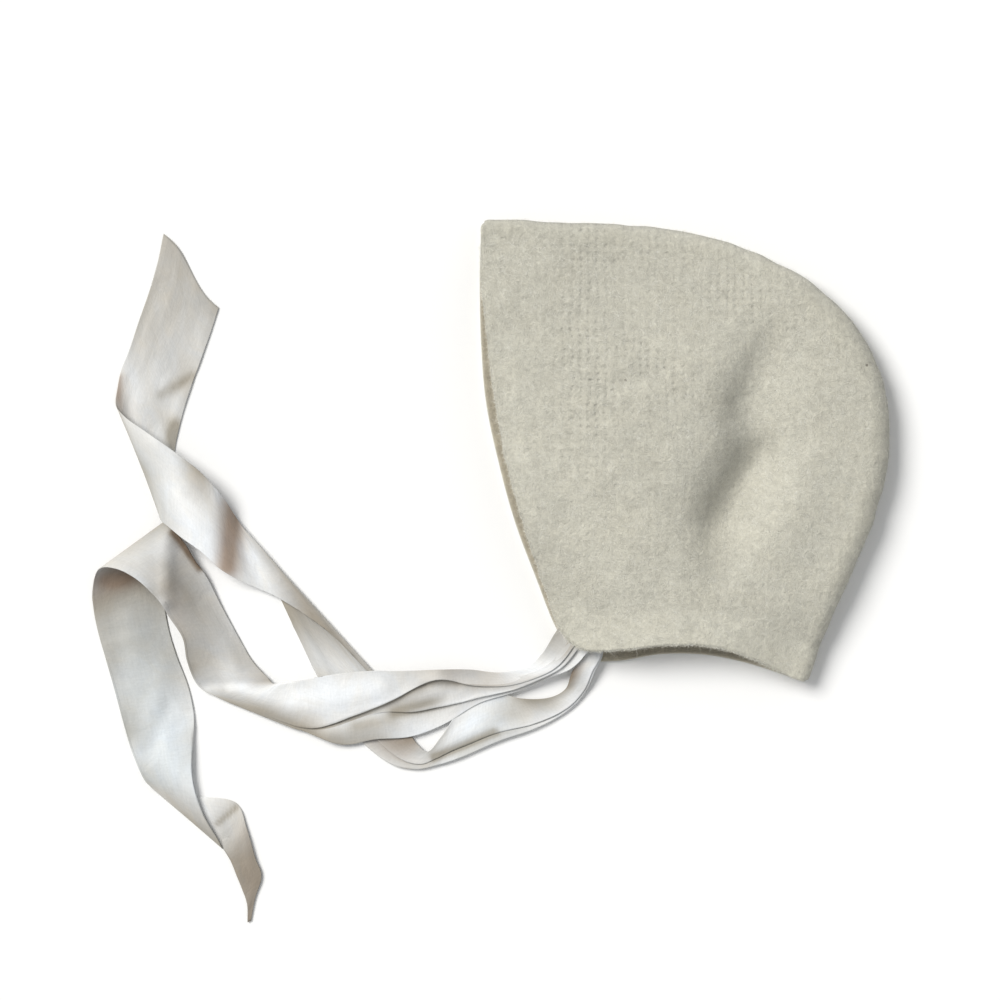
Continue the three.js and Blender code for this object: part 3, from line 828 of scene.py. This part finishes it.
nearTie = {
    "name": "silk_tie_near",
    "endWave": 0.0,
    "rows": (
        (-30, -66, 7.6, -41, -59, 7.6),  # sewn inside the upper wall
        (-34.5, -72.5, 7.2, -46, -65.5, 7),  # leaves the front corner
        (-40.5, -78.5, 5.8, -51, -73.5, 5.4),
        (-47.5, -81.5, 4.8, -56.5, -78, 4.6),
        (-59, -86.5, 3.2, -66, -80, 4.2),
        (-73.5, -91, 2.4, -77, -79, 4),
        (-86, -98.5, 2.2, -88, -79, 4),
        (-98, -103, 2.4, -100.5, -79.5, 4.2),
        (-111, -104, 2.6, -112.5, -79.5, 4.4),
        (-123, -106, 2.4, -124, -80.5, 4.4),
        (-137, -101, 1.6, -135.5, -82.5, 3.8),
        (-152, -95, 0.9, -144, -83.5, 3.4),
        (-167, -89, 1, -147.5, -84, 3.2),  # turns towards the loop
        (-174, -85, 2.4, -149.5, -82, 2.2),
        (-178, -76, 6, -155, -76, 1),
        (-179.5, -67.5, 8, -160, -67.5, 0.9),
        (-184.5, -59.5, 9, -166.5, -55.5, 1.4),
        (-187, -55, 10.5, -171.5, -45.5, 2.6),
        (-190, -51.5, 12, -175.5, -40, 3.8),
        (-196, -46, 13, -179, -34, 4.8),
        (-203, -42.5, 12.5, -183, -29, 5.2),
        (-209.5, -42.5, 8.5, -187, -26, 3.4),  # crest of the loop
        (-212.3, -50, 3.4, -186.5, -34, 1.2),
        (-212, -57, 1.6, -187.5, -47, 0.9),
        (-210.5, -65, 0.9, -185.5, -63, 0.9),
        (-207.5, -75.5, 0.9, -182.5, -73.5, 0.9),
        (-204, -88, 0.9, -178, -85.5, 0.9),
        (-201, -99, 1.4, -176, -96, 1.4),
        (-198, -108.5, 2, -176, -106, 2),
        (-193.5, -118.5, 2.6, -176, -117.5, 2.6),
        (-191.6, -120.9, 2.6, -172.5, -131, 2.6),
        (-190, -122.6, 2.4, -167, -141, 2.4),
        (-188.6, -123.6, 1.6, -165.8, -143.4, 1.6),  # folds under itself
        (-186.5, -122.8, 0.9, -165.5, -143, 0.9),
        (-175, -125, 0.9, -166, -143, 0.9),
        (-161, -127.5, 0.9, -165.5, -144.5, 0.9),
        (-157.2, -137, 1.4, -163.3, -148.5, 0.9),
        (-154.4, -147.2, 1.6, -161.2, -153.6, 0.9),
        (-152.3, -153.4, 1.4, -159.2, -158.4, 0.9),
        (-154.6, -161.4, 1, -157.2, -163.4, 0.9),
        (-156.3, -169.7, 0.9, -156.9, -170, 0.9),  # free end
    ),
    "pleats": (
        (0, 0.24, 3.2, 0.37, 3.2, 0, 0, 0.5, 0.1, 0.2),
        (1, 0.24, 3.1, 0.37, 3.1, 0, 0, 0.7, 0.1, 0.2),
        (2, 0.21, 3.4, 0.34, 3.4, 0, 0, 1, 0.1, 0.2),
        (3, 0.08, 4, 0.22, 4, 0, 0, 1.1, 0.2, 0.2),
        (4, 0.06, 4, 0.27, 4, 0, 0, 1.1, 0.1, 0.3),
        (5, 0.10, 3.3, 0.475, 3.3, 0, 0, 1.1, 0.1, 0.3),
        (5.25, 0.155, 3.1, 0.60, 2.8, 0, 0, 1.2, 0.25, 0.4),
        (5.5, 0.22, 2.8, 0.72, 2.4, 0, 0, 1.3, 0.3, 0.6),
        (5.75, 0.28, 2.2, 0.81, 1.8, 0, 0, 1.4, 0.4, 0.8),
        (6, 0.32, 1.7, 0.84, 1.5, 0, 0, 1.5, 0.5, 0.9),
        (6.25, 0.335, 1.5, 0.813, 1.5, 0, 0, 1.5, 0.6, 0.9),
        (6.5, 0.345, 1.3, 0.778, 1.5, 0, 0, 1.4, 0.6, 0.9),
        (6.75, 0.352, 1, 0.726, 1.4, 0, 0, 1.4, 0.5, 0.9),
        (7, 0.36, 0.8, 0.66, 1.2, 0, 0, 1.3, 0.5, 0.9),
        (7.5, 0.41, 0.3, 0.54, 1.3, 0, 0, 1.2, 0.3, 1),
        (8, 0.38, -0.8, 0.43, 1.4, 0, 0, 1.2, 0, 0.8),
        (9, 0.30, -0.8, 0.35, 1.3, 0, 0, 1.1, 0, 0.7),
        (10, 0.02, -0.8, 0.03, 0.6, 3.5, 0, 1, 0, 0.3),
        (11, *noPleats, 8, 1, 1),
        (12, *noPleats, 4, 0, 0.8),
        (13, *noPleats, 1, 0, 0.3),
        (14, *noPleats, 1.5, 0, 0.3),
        (19, *noPleats, 1.5, 0, 0.3),
        (21, *noPleats, 0, 0, 0),
        (27, *noPleats, 0, 0, 0.3),
        (28, *noPleats, 1.5, 2, 0.6),
        (29, *noPleats, 4, 3.5, 0.9),
        (31, *noPleats, 0, 0, 0.3),
        (34, *noPleats, 0, 0, 0.3),
        (35, *noPleats, 0, 6, 0.4),
        (36, *noPleats, 0, 9, 0.6),
        (37, *noPleats, 0, 8, 0.6),
        (38, *noPleats, 0, 6, 0.4),
        (40, *noPleats, 0, 0.5, 0.2),
    ),
    "creases": (
        (4, 9, -87.8, -80.6, -87.8, -83, 1.3, 5),  # hump in the top leaf
        (4, 8, -93, -84.6, -81, -84.6, -0.9, 1.4),  # hollow under it
        (7, 12, -103, -85.5, -137, -90.5, 1.6, 5),  # bright belly of the bundle
        (7, 12, -106, -99, -126, -101.5, 0.8, 3),
        (11, 15, -172, -84.3, -150, -83.9, -0.8, 2),  # soft bend before the loop
        (13, 21, -185.5, -29, -185.5, -54, 1.8, 3),  # ridge of the rising stretch
        (22, 30, -200, -62, -196, -84, 0.8, 4),
        (24, 30, -188, -80, -192, -104, 0.7, 4),
        (25, 31, -186, -92, -192, -108, -0.7, 2.5),
        (22, 28, -206, -70, -194, -66, 0.35, 2.4),
        (13, 20, -172, -56, -160, -78, 0.5, 2.2),
        (33.5, 37, -160.6, -128.4, -168, -134.2, -0.4, 1.6),  # crinkle at the end
    ),
    "tonesAndPaintedShade": (
        (0, 0.2, 0.4, 0.9),
        (1, 0, 0.7, 0.9),
        (1.5, 0, 0.8, 0.8),
        (2, 0, 0.3, 0.5),
        (2.5, 0, 0.05, 0),
        (3, 0.3, 0.05, 0),
        (3.5, 0.4, 0.05, 0),
        (4, 0.2, 0.3, 0.4, 0, 0.1, 0.05),
        (4.5, 0, 0.45, 0.6, 0, 0.15, 0.15),
        (5, 0, 0.45, 0.70, 0, 0.15, 0.2),
        (5.5, 0, 0.20, 0.70, 0, 0.05, 0.25),
        (6, 0, 0.05, 0.65, 0, 0.05, 0.2),
        (6.5, 0, 0.20, 0.60, 0, 0.05, 0.1),
        (7, 0.2, 0.20, 0.50, 0, 0.05, 0),
        (7.5, 0.45, 0.05, 0.38),
        (8, 0.85, 0, 0.32),
        (9, 0.9, 0.05, 0.25),
        (10, 1.15, 0.05, 0.20, 0.1, 0, 0),
        (11, 1.3, 0.15, 0, 0.15, 0, 0),
        (12, 0.9, 0.10, 0.5, 0, 0, 0.1),
        (12.5, 0.2, 0.05, 1, 0, 0, 0.3),
        (13, 0, 0, 0.75, 0, 0, 0.15),
        (13.5, 1, 0.2, 0.7, 0, 0, 0.15),
        (14, 0.9, 0.5, 0.7, 0.05, 0, 0),
        (15, 0.8, 0.65, 0.52, 0.1, 0.05, 0),
        (16, 0.6, 0.9, 0.5, 0.1, 0.1, 0),
        (17, 0.4, 0.88, 0.45, 0.05, 0.15, 0),
        (18, 0.8, 0.82, 0.55, 0, 0.15, 0),
        (18.5, 0.4, 0.75, 0.5, 0, 0.1, 0.1),
        (19, 0.33, 0.75, 0.4, 0, 0.05, 0.2),
        (19.5, 0.35, 0.42, 0.6, 0, 0, 0.3),
        (20, 0.45, 0.48, 0.75),
        (21, 0.6, 0.85, 1),
        (22, 0.55, 0.65, 0.6, 0.5, 0.95, 0.7),
        (22.5, 0.85, 0.85, 0.8, 0.4, 0.95, 0.8),
        (23, 1, 1.05, 0.9, 0.05, 0.1, 0),
        (23.5, 0.88, 0.8, 0.9, -0.1, -0.4, -0.5),
        (24, 0.78, 0.78, 0.72, -0.4, -0.7, -0.55),
        (25, 0.8, 0.64, 0.78, -0.4, -0.85, -0.55),
        (26, 0.52, 0.45, 0.54, -0.6, -0.9, -0.2),
        (27, 0.90, 0.30, 0.20, -0.8, -0.95, -0.2),
        (27.5, 0.90, 0.18, 0.42, -0.9, -0.9, -0.6),
        (28, 0.3, 0.12, 0.55, -0.4, -1, -0.5),
        (28.5, 0.58, 0.18, 0.45, -0.8, -1, -0.8),
        (29, 0.75, 0.28, 0.14, -0.8, -0.9, -0.6),
        (29.5, 0.7, 0.52, 0.28, -0.6, -0.6, -0.4),
        (30, 0.7, 0.72, 0.72),
        (31, 0.5, 0.95, 1),
        (32, 0.5, 0.95, 1),
        (33, 0.3, 0.3, 0.4),
        (34, 0, 0, 0.3),
        (34.5, 0.3, 0.7, 0.6, 0, 0.05, 0.05),
        (35, 0.6, 0.6, 0.8, 0.05, 0.05, 0.05),
        (35.5, 0.5, 0.65, 0.9, 0.05, 0.1, 0.1),
        (36, 0.8, 0.9, 1, 0.3, 0.3, 0.3),
        (37, 1.1, 1.1, 1, 0.45, 0.5, 0.3),
        (38, 1.1, 1.1, 1.1, 0.5, 0.55, 0.4),
        (40, 1.1, 1.1, 1.1, 0.5, 0.55, 0.4),
    ),
    "dull": (
        (5.6, 8, -85, -89.2, -104.5, -94.4, 0.8, 2.3),  # shade before the lower pleat
        (7, 9.6, -104, -96.8, -118, -99, 0.4, 2.4),
        (16.5, 21, -183.2, -29.6, -174, -42.3, 0.7, 1.1),
        (33.5, 37, -161, -128.8, -168, -134.6, 0.45, 1.1),  # painted shade along the crinkle
        (11, 15, -176, -86.5, -166, -86, 0.25, 2),
    ),
    "warm": (
        (16.5, 21, -183.2, -29.6, -174, -42.3, 1, 1.4),  # edge in the shade of the crest
        (21, 23, -209, -46, -196, -50.5, 0.5, 3.5),
        (15, 20, -180, -66, -184, -50, 0.15, 4),
    ),
}

farTie = {
    "name": "silk_tie_far",
    "endWave": 1.5,  # how far the cut end swings out and in
    "rows": (
        (-28, -68.5, 4, -34.5, -67, 4),  # sewn inside the lower wall
        (-29, -74.5, 4, -35.5, -74, 4),  # leaves the front corner
        (-31.5, -79.5, 3.6, -40, -79.5, 3.2),
        (-34.5, -86.5, 1.6, -42.5, -86, 1.4),
        (-40.5, -93.5, 0.9, -48, -89, 1.2),
        (-52, -100, 0.9, -59, -89.3, 1.2),
        (-66.5, -105, 0.9, -68, -87, 1.2),
        (-80.5, -111, 0.9, -79, -92, 1.2),
        (-89.5, -114, 0.9, -87, -103, 1.2),
        (-96, -115.2, 0.9, -92, -108.5, 1),  # tight bend
        (-104, -114, 0.9, -95.5, -106, 0.9),
        (-113, -108, 0.9, -98, -102.5, 0.9),
        (-122, -98, 0.9, -100, -98, 0.9),
        (-131.5, -82, 0.9, -101, -95, 0.9),  # passes under the near tie
        (-138, -68.5, 0.9, -102, -92.5, 0.9),
        (-145, -53.5, 0.9, -103, -90.5, 0.9),
        (-152, -38.5, 0.9, -104, -89, 0.9),
        (-155.8, -31.2, 1.7, -105, -87, 1.7),  # long fold back over itself
        (-156.5, -30, 2.5, -113.5, -79.5, 2.5),
        (-158, -28.5, 2.5, -127.5, -65.5, 2.5),
        (-159.5, -26.5, 2.6, -145, -53.5, 2.5),
        (-161.5, -23.5, 3.4, -153.5, -49.5, 3),
        (-164.5, -18.5, 6.5, -160, -46.5, 5.5),
        (-168, -14, 9.4, -166.5, -42.5, 8.6),
        (-173, -8.5, 9.8, -173, -36.5, 9.4),  # lies over the near tie's loop
        (-178.5, -4, 9.2, -180, -31.5, 9.4),
        (-186, 1.5, 8.2, -185.5, -27, 8.6),
        (-194, 7, 6.8, -187.5, -25.5, 7.6),
        (-201, 12, 5.2, -188, -24.5, 6.2),
        (-204, 16, 3.2, -187.2, -22.5, 3.4),  # soft fold under itself
        (-203.5, 22.5, 1.3, -185.5, -17, 1.3),
        (-202, 29.5, 0.9, -184, -7, 0.9),
        (-199.5, 35.5, 0.9, -182.5, 4, 0.9),
        (-196, 46, 0.9, -179, 17.5, 0.9),
        (-192, 57.5, 0.9, -173.5, 33, 0.9),
        (-189, 68, 0.9, -169.5, 44.5, 0.9),
        (-187, 77.8, 0.9, -167.3, 51.3, 0.9),  # slanted cut
    ),
    "pleats": (
        (0, 0.10, 2.8, 0.9, -0.8, 4.5, 4, 0.5),
        (2, 0.10, 3.2, 0.9, -0.8, 5, 4, 0.6),
        (4, 0.12, 3.4, 0.9, -0.8, 5, 4, 0.7),
        (5, 0.12, 3.5, 0.9, -0.8, 2.5, 3, 0.9, 0.1, 0),
        (6, 0.15, 3.6, 0.9, -0.8, 1, 1.5, 1, 0.4, 0),
        (7, 0.18, 3.4, 0.9, -0.8, 0.8, 1.2, 1, 0.4, 0),
        (8, 0.26, 3.2, 0.9, -0.8, 3, 3, 0.9, 0.4, 0),
        (9, 0.30, 2.6, 0.9, -0.8, 5, 4, 0.8, 0.2, 0),
        (10, 0.30, 2, 0.9, -0.8, 5, 4, 0.6, 0.2, 0),
        (11, 0.30, 1, 0.9, -0.8, 4, 3, 0.4),
        (12, 0.30, 0.4, 0.9, -0.8, 1.5, 0, 0.2),
        (14, 0.30, -0.8, 0.9, -0.8, 0, 0, 0),
    ),
    "creases": (
        (5, 9.5, -70, -102.2, -86, -108.8, -0.4, 1.8),  # hollow above the long pleat
        (22, 28, -180, -14, -190, 2, 0.6, 4),
        (30, 37, -188, 24, -178, 27, -0.5, 2.5),
        (30, 37, -194, 34, -186, 52, 0.5, 4),
    ),
    "tonesAndPaintedShade": (
        (0, 0.3, 0.3, 0.3),
        (1.5, 0, 0.2, 0.2, 0, 0, 0.1),
        (2, 0, 0.4, 1.2, 0, 0.1, 1.1),
        (2.5, 0, 0.5, 1.1, 0, 0, 0.6),
        (3, 0.6, 0.4, 0.95, 0, 0, 0.2),
        (3.5, 0, 0.35, 0.95),
        (4, 0, 0.45, 0.9),
        (4.5, 0, 0.75, 1.1, 0, 0, 0.1),
        (5, 0.15, 0.5, 1, 0, 0, 0.1),
        (5.5, 0.2, 0.7, 0.45, -0.2, -0.4, -0.3),
        (6, 0.25, 0.4, 0.2, -0.3, -0.4, -0.1),
        (6.5, 0.35, 0, 0, -0.5, -0.4, -0.1),
        (7, 0.35, 0, 0, -0.5, -0.2, 0),
        (7.5, 0.2, 0.1, 0.2),
        (8, 0.2, 0.35, 0.7),
        (8.5, 0.5, 0.45, 0.65),
        (9, 0.45, 0.45, 0.65),
        (9.5, 0.55, 0.45, 0.75, 0, 0.05, 0.05),
        (10, 0.3, 0.5, 0.75, 0.05, 0.3, 0.4),
        (10.5, 0.3, 0.7, 0.95, 0.05, 0.45, 0.65),
        (11, 0.4, 0.8, 1, 0.1, 0.55, 0.75),
        (12, 0.6, 0.8, 0.95, 0.2, 0.5, 0.65),
        (13, 0.5, 0.3, 0.3),
        (14, 0.65, 0.2, 0.2),
        (14.5, 1.1, 0.35, 0.2),
        (15, 1.1, 0.65, 0.2, 0.1, 0, 0),
        (15.5, 1.1, 0.8, 0.3, 0.1, 0, 0),
        (17, 0.55, 0.75, 0.6, 0, 0, 0.05),
        (18, 0.4, 0.9, 0.8, 0, 0.2, 0.1),
        (18.5, 0.4, 1, 1.1, 0, 0.25, 0.15),
        (19, 0.4, 0.8, 1.1, 0, 0.1, 0.25),
        (19.5, 0.5, 0.6, 1, 0, 0.1, 0.2),
        (20, 0.5, 0.1, 0.3),
        (20.5, 0.55, 0, 0.2),
        (21, 0.5, 0, 0.1),
        (23, 0.25, 0.25, 0),
        (23.5, 0.8, 0.25, 0, 0.05, 0, 0),
        (24, 1, 0.15, 0, 0.1, 0, 0),
        (24.5, 1, 0.1, 0, 0.15, 0, 0),
        (25, 0.85, 0.1, 0.15),
        (25.5, 0.3, 0.05, 0.4),
        (26, 0.35, 0.32, 0.57, 0, -0.3, -0.3),
        (26.5, 0.3, 0.5, 0.67, 0, -0.3, -0.35),
        (27, 0.35, 0.66, 0.55, 0, -0.3, -0.4),
        (27.5, 0.3, 0.85, 0.7, 0, -0.3, -0.4),
        (28, 0.4, 0.95, 0.85, 0, -0.3, -0.4),
        (28.5, 0.8, 1.1, 0.9),
        (29, 0.8, 0.9, 0.8, 0.25, 0, 0),
        (29.5, 0.55, 0.5, 0.5, 0.25, 0, 0),
        (30, 0.5, 0.2, 0.1, 0.2, 0, 0),
        (31, 0.3, 0.38, 0.1, 0.05, 0, 0),
        (31.5, 0.3, 0.45, 0.6),
        (32, 0.6, 0.42, 0.9),
        (32.5, 0.7, 0.3, 0.35),
        (33, 0.85, 0.5, 0.7),
        (34, 0.85, 0.62, 0.5),
        (35, 0.75, 0.75, 0.7, 0.05, 0, 0),
        (36, 0.85, 0.8, 0.9, 0.05, 0.05, 0.05),
    ),
    "dull": (
        (5, 9.5, -68, -101.5, -89.5, -110.4, 0.85, 1.7),
        (30, 36, -176.5, 26.5, -188, 20, 0.4, 2.2),
        (31, 34, -183, 9, -185, 1, 0.5, 2.6),
        (20, 23.5, -161.2, -23, -162.2, -40, 0.15, 2.6),  # stripe of shade under the overlap's bend
    ),
    "warm": (
        (19, 24, -161.8, -21, -163.8, -42, 1.1, 4.3),
        (29, 32, -203.6, 15, -203, 26, 0.6, 1.6),
    ),
}


# the columns of a table keyed by row number, carried to every step: the straight line between its rows,
# averaged over a window of about two thirds of a row so that it has no corners; what a row leaves out is 0
def alongRows(spec, tableRows, at):
    width = max(len(row) for row in tableRows)
    keys, *columns = np.array([row + (0,) * (width - len(row)) for row in tableRows], float).T
    places = [at + shift for shift in np.linspace(-spec["rowBlend"], spec["rowBlend"], 7)]
    return [np.mean([np.interp(place, keys, column) for place in places], axis=0) for column in columns]


# the sum of the strokes of a tie's table, each faded in after its first row and out before its last
def strokes(spec, tableRows, at, x, y):
    total = np.zeros(x.shape)
    for first, last, fromX, fromY, toX, toY, rise, halfWidth in tableRows:
        held = smoothStep((at - first) / spec["strokeFade"]) * smoothStep((last - at) / spec["strokeFade"])
        total += rise * held[:, None] * bell(distanceToLine(x, y, fromX, fromY, toX, toY), halfWidth)
    return total


# The painted shade of a tie and its painted tint, warm, and cool where below zero: the tones at its left,
# middle and right blended straight across, plus the strokes, plus the painted shades of the pleats, which
# die away as exp(-distance / shadeReach).
def tiePaintedShade(spec, tie, at, points, side, shades):
    tonesAndPaintedShade = [tone[:, None] for tone in alongRows(spec, tie["tonesAndPaintedShade"], at)]
    weights = (np.clip(1 - 2 * side, 0, 1), 1 - np.abs(2 * side - 1), np.clip(2 * side - 1, 0, 1))
    dull, warm = (
        sum(tone * weight for tone, weight in zip(levels, weights))
        + strokes(spec, tie[title], at, points[..., 0], points[..., 1])
        for title, levels in (("dull", tonesAndPaintedShade[:3]), ("warm", tonesAndPaintedShade[3:]))
    )
    for strength, below, away in shades:
        dull += strength * below * np.exp(-away / spec["shadeReach"])
    return {"dull": np.clip(dull, 0, 1), "warm": np.clip(warm, -1, 1)}


# Middle surface of a tie. Eight lines run along the cloth, where it can turn: the left selvedge, the left
# tuck's fold, two for each pleat, the right tuck's fold and the right selvedge. Between two lines the cloth
# is straight across, and a leaf that lies on another is lifted, most at its fold, dying away as
# exp(-distance / fade).
def tieSurface(spec, tie):
    rows = np.array(tie["rows"])
    at = np.linspace(0, len(rows) - 1, (len(rows) - 1) * spec["stepsPerRow"] + 1)
    left = curveThrough(rows[:, :3], at)
    right = curveThrough(rows[:, 3:], at)
    shown = np.linalg.norm(right - left, axis=1)
    pleats = alongRows(spec, tie["pleats"], at)
    lineA, lapA, lineB, lapB, tuckLeft, tuckRight, lift, shadeA, shadeB = pleats
    a, b = lineA * shown, lineB * shown
    turns = [tuckLeft, 0 * shown, a + lapA, a, b + lapB, b, shown, shown - tuckRight]
    turns = np.stack(turns, axis=1)
    leafWidths = np.maximum(np.abs(np.diff(turns, axis=1)), spec["leastLeaf"])
    cloth = np.concatenate([0 * turns[:, :1], np.cumsum(leafWidths, axis=1)], axis=1)
    leaf = np.repeat(np.arange(len(spec["leafSteps"])), spec["leafSteps"])
    leaf = np.append(leaf, leaf[-1])
    part = np.concatenate([np.arange(n) / n for n in spec["leafSteps"]] + [[1.0]])
    x = turns[:, leaf] * (1 - part) + turns[:, leaf + 1] * part
    over = cloth[:, leaf] * (1 - part) + cloth[:, leaf + 1] * part  # from the left selvedge, in the cloth
    height = np.zeros(x.shape)
    slack = spec["openPleat"]
    folds = ((1, tuckLeft, 0.0, 1), (3, lapA, slack, 1), (5, lapB, slack, 1), (6, tuckRight, 0.0, -1))
    for line, lap, loose, way in folds:
        past = way * (over - cloth[:, line : line + 1])
        rise = lift * np.clip((lap + loose) / (1 + loose), 0, 1)
        under = np.clip(1 + past / np.maximum(np.abs(lap), spec["leastLap"])[:, None], 0, 1)
        fade = np.maximum(spec["pleatFade"], spec["fadePerLap"] * lap)[:, None]
        height += rise[:, None] * smoothStep(under) * np.exp(-np.maximum(past, 0) / fade)
    share = (x / np.maximum(shown, 1e-6)[:, None])[..., None]
    points = left[:, None] * (1 - share) + right[:, None] * share
    raised = strokes(spec, tie["creases"], at, points[..., 0], points[..., 1])
    points[..., 2] += height - spec["settle"] + raised
    middle = points.mean(axis=1)
    length = np.concatenate([[0], np.cumsum(np.linalg.norm(np.diff(middle, axis=0), axis=1))])
    down = length[:, None] + np.zeros(over.shape)
    for across, along, rise, seed in spec["wrinkles"]:
        points[..., 2] += rise * unevenness(over, down * across / along, across * 2.0, seed)
    points[:, 1:-1] = points[:, 1:-1] / 2 + (points[:, :-2] + points[:, 2:]) / 4
    points[..., 2] = np.maximum(points[..., 2], spec["floorGap"] + spec["thickness"] / 2)
    side = np.clip(share[..., 0], 0, 1)
    ahead = np.gradient(middle, axis=0)
    ahead /= np.linalg.norm(ahead, axis=1)[:, None]
    nearEnd = smoothStep((at - len(rows) + 3) / 2)[:, None]  # over the last two rows
    swing = tie["endWave"] * nearEnd * np.sin(2 * math.pi * side)
    points += swing[..., None] * ahead[:, None]
    # the painted shade of each pleat: how strong, on which leaves, and how far from the pleat's fold
    shades = []
    for first, last, fold, shade in ((0, 2, a, shadeA), (3, 4, b, shadeB)):
        below = (leaf >= first) & (leaf <= last) & (part + leaf < last + 0.999)
        shades.append((shade[:, None], below, np.maximum(fold[:, None] - x, 0)))
    tonesAndPaintedShade = tiePaintedShade(spec, tie, at, points, side, shades)
    return points, np.stack([over, down], axis=2), tonesAndPaintedShade, length[-1]


# a closed strip: the middle surface moved half a thickness to each side along its normals, joined round the
# border
def buildTie(spec, tie, material):
    middle, uv, tonesAndPaintedShade, length = tieSurface(spec, tie)
    rows, columns, _ = middle.shape
    normal = np.cross(np.gradient(middle, axis=0), np.gradient(middle, axis=1))
    normal /= np.maximum(np.linalg.norm(normal, axis=2), 1e-9)[..., None]
    sides = [middle + normal * spec["thickness"] / 2, middle - normal * spec["thickness"] / 2]
    points = np.concatenate([side.reshape(-1, 3) for side in sides])
    layer = rows * columns
    grid = gridFaces(rows, columns)
    ids = np.arange(layer).reshape(rows, columns)
    border = np.concatenate([ids[0, :-1], ids[:-1, -1], ids[-1, :0:-1], ids[:0:-1, 0]])
    after = np.roll(border, -1)
    walls = np.stack([border, border + layer, after + layer, after], axis=1)
    quads = np.concatenate([grid, grid[:, ::-1] + layer, walls])
    if insideVolume(points, quads) < 0:
        quads = quads[:, ::-1]
    uv = np.concatenate([uv.reshape(-1, 2)] * 2)
    tonesAndPaintedShade = {title: np.concatenate([values.ravel()] * 2) for title, values in tonesAndPaintedShade.items()}
    made = addMesh(tie["name"], points, quads, material, uv, tonesAndPaintedShade)
    print(tie["name"], "length", round(length, 1), "mm,", len(quads), "faces")
    return made, length


for tie, node, neighbours in ((nearTie, "tie_near", ["tie_far", "crown"]), (farTie, "tie_far", ["crown"])):
    strip, length = buildTie(ribbon, tie, silkMaterial)
    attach(strip, "root")
    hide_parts(node)
    length * mm


# a flat square just under the cloth
def layFloor(spec):
    half = spec["floorSize"] / 2 / mm
    corners = np.array([[-half, -half], [half, -half], [half, half], [-half, half]])
    corners = np.hstack([corners, np.full((4, 1), -spec["floorDrop"])])
    paint = Finish("studio_floor")
    material = paint.surface(spec["floorColour"], None, spec)
    addMesh("studio_floor", corners, np.array([[0, 1, 2, 3]]), material)


# soft window light from the upper left, and an even pale sky
def lightStudio(spec):
    lamp = bpy.data.lights.new("window", "SUN")
    lamp.energy = spec["keyStrength"]
    lamp.angle = math.radians(spec["keyAngle"])
    lamp.color = spec["keyColour"]
    holder = bpy.data.objects.new("window", lamp)
    holder.rotation_mode = "QUATERNION"
    holder.rotation_quaternion = Vector(spec["keyFrom"]).to_track_quat("Z", "Y")
    bpy.context.collection.objects.link(holder)
    sky = bpy.data.worlds.new("sky")
    sky.use_nodes = True
    glow = sky.node_tree.nodes["Background"]
    glow.inputs["Color"].default_value = (*spec["skyColour"], 1.0)
    glow.inputs["Strength"].default_value = spec["skyStrength"]
    bpy.context.scene.world = sky


layFloor(studio)
lightStudio(studio)
print("floor and light ready")
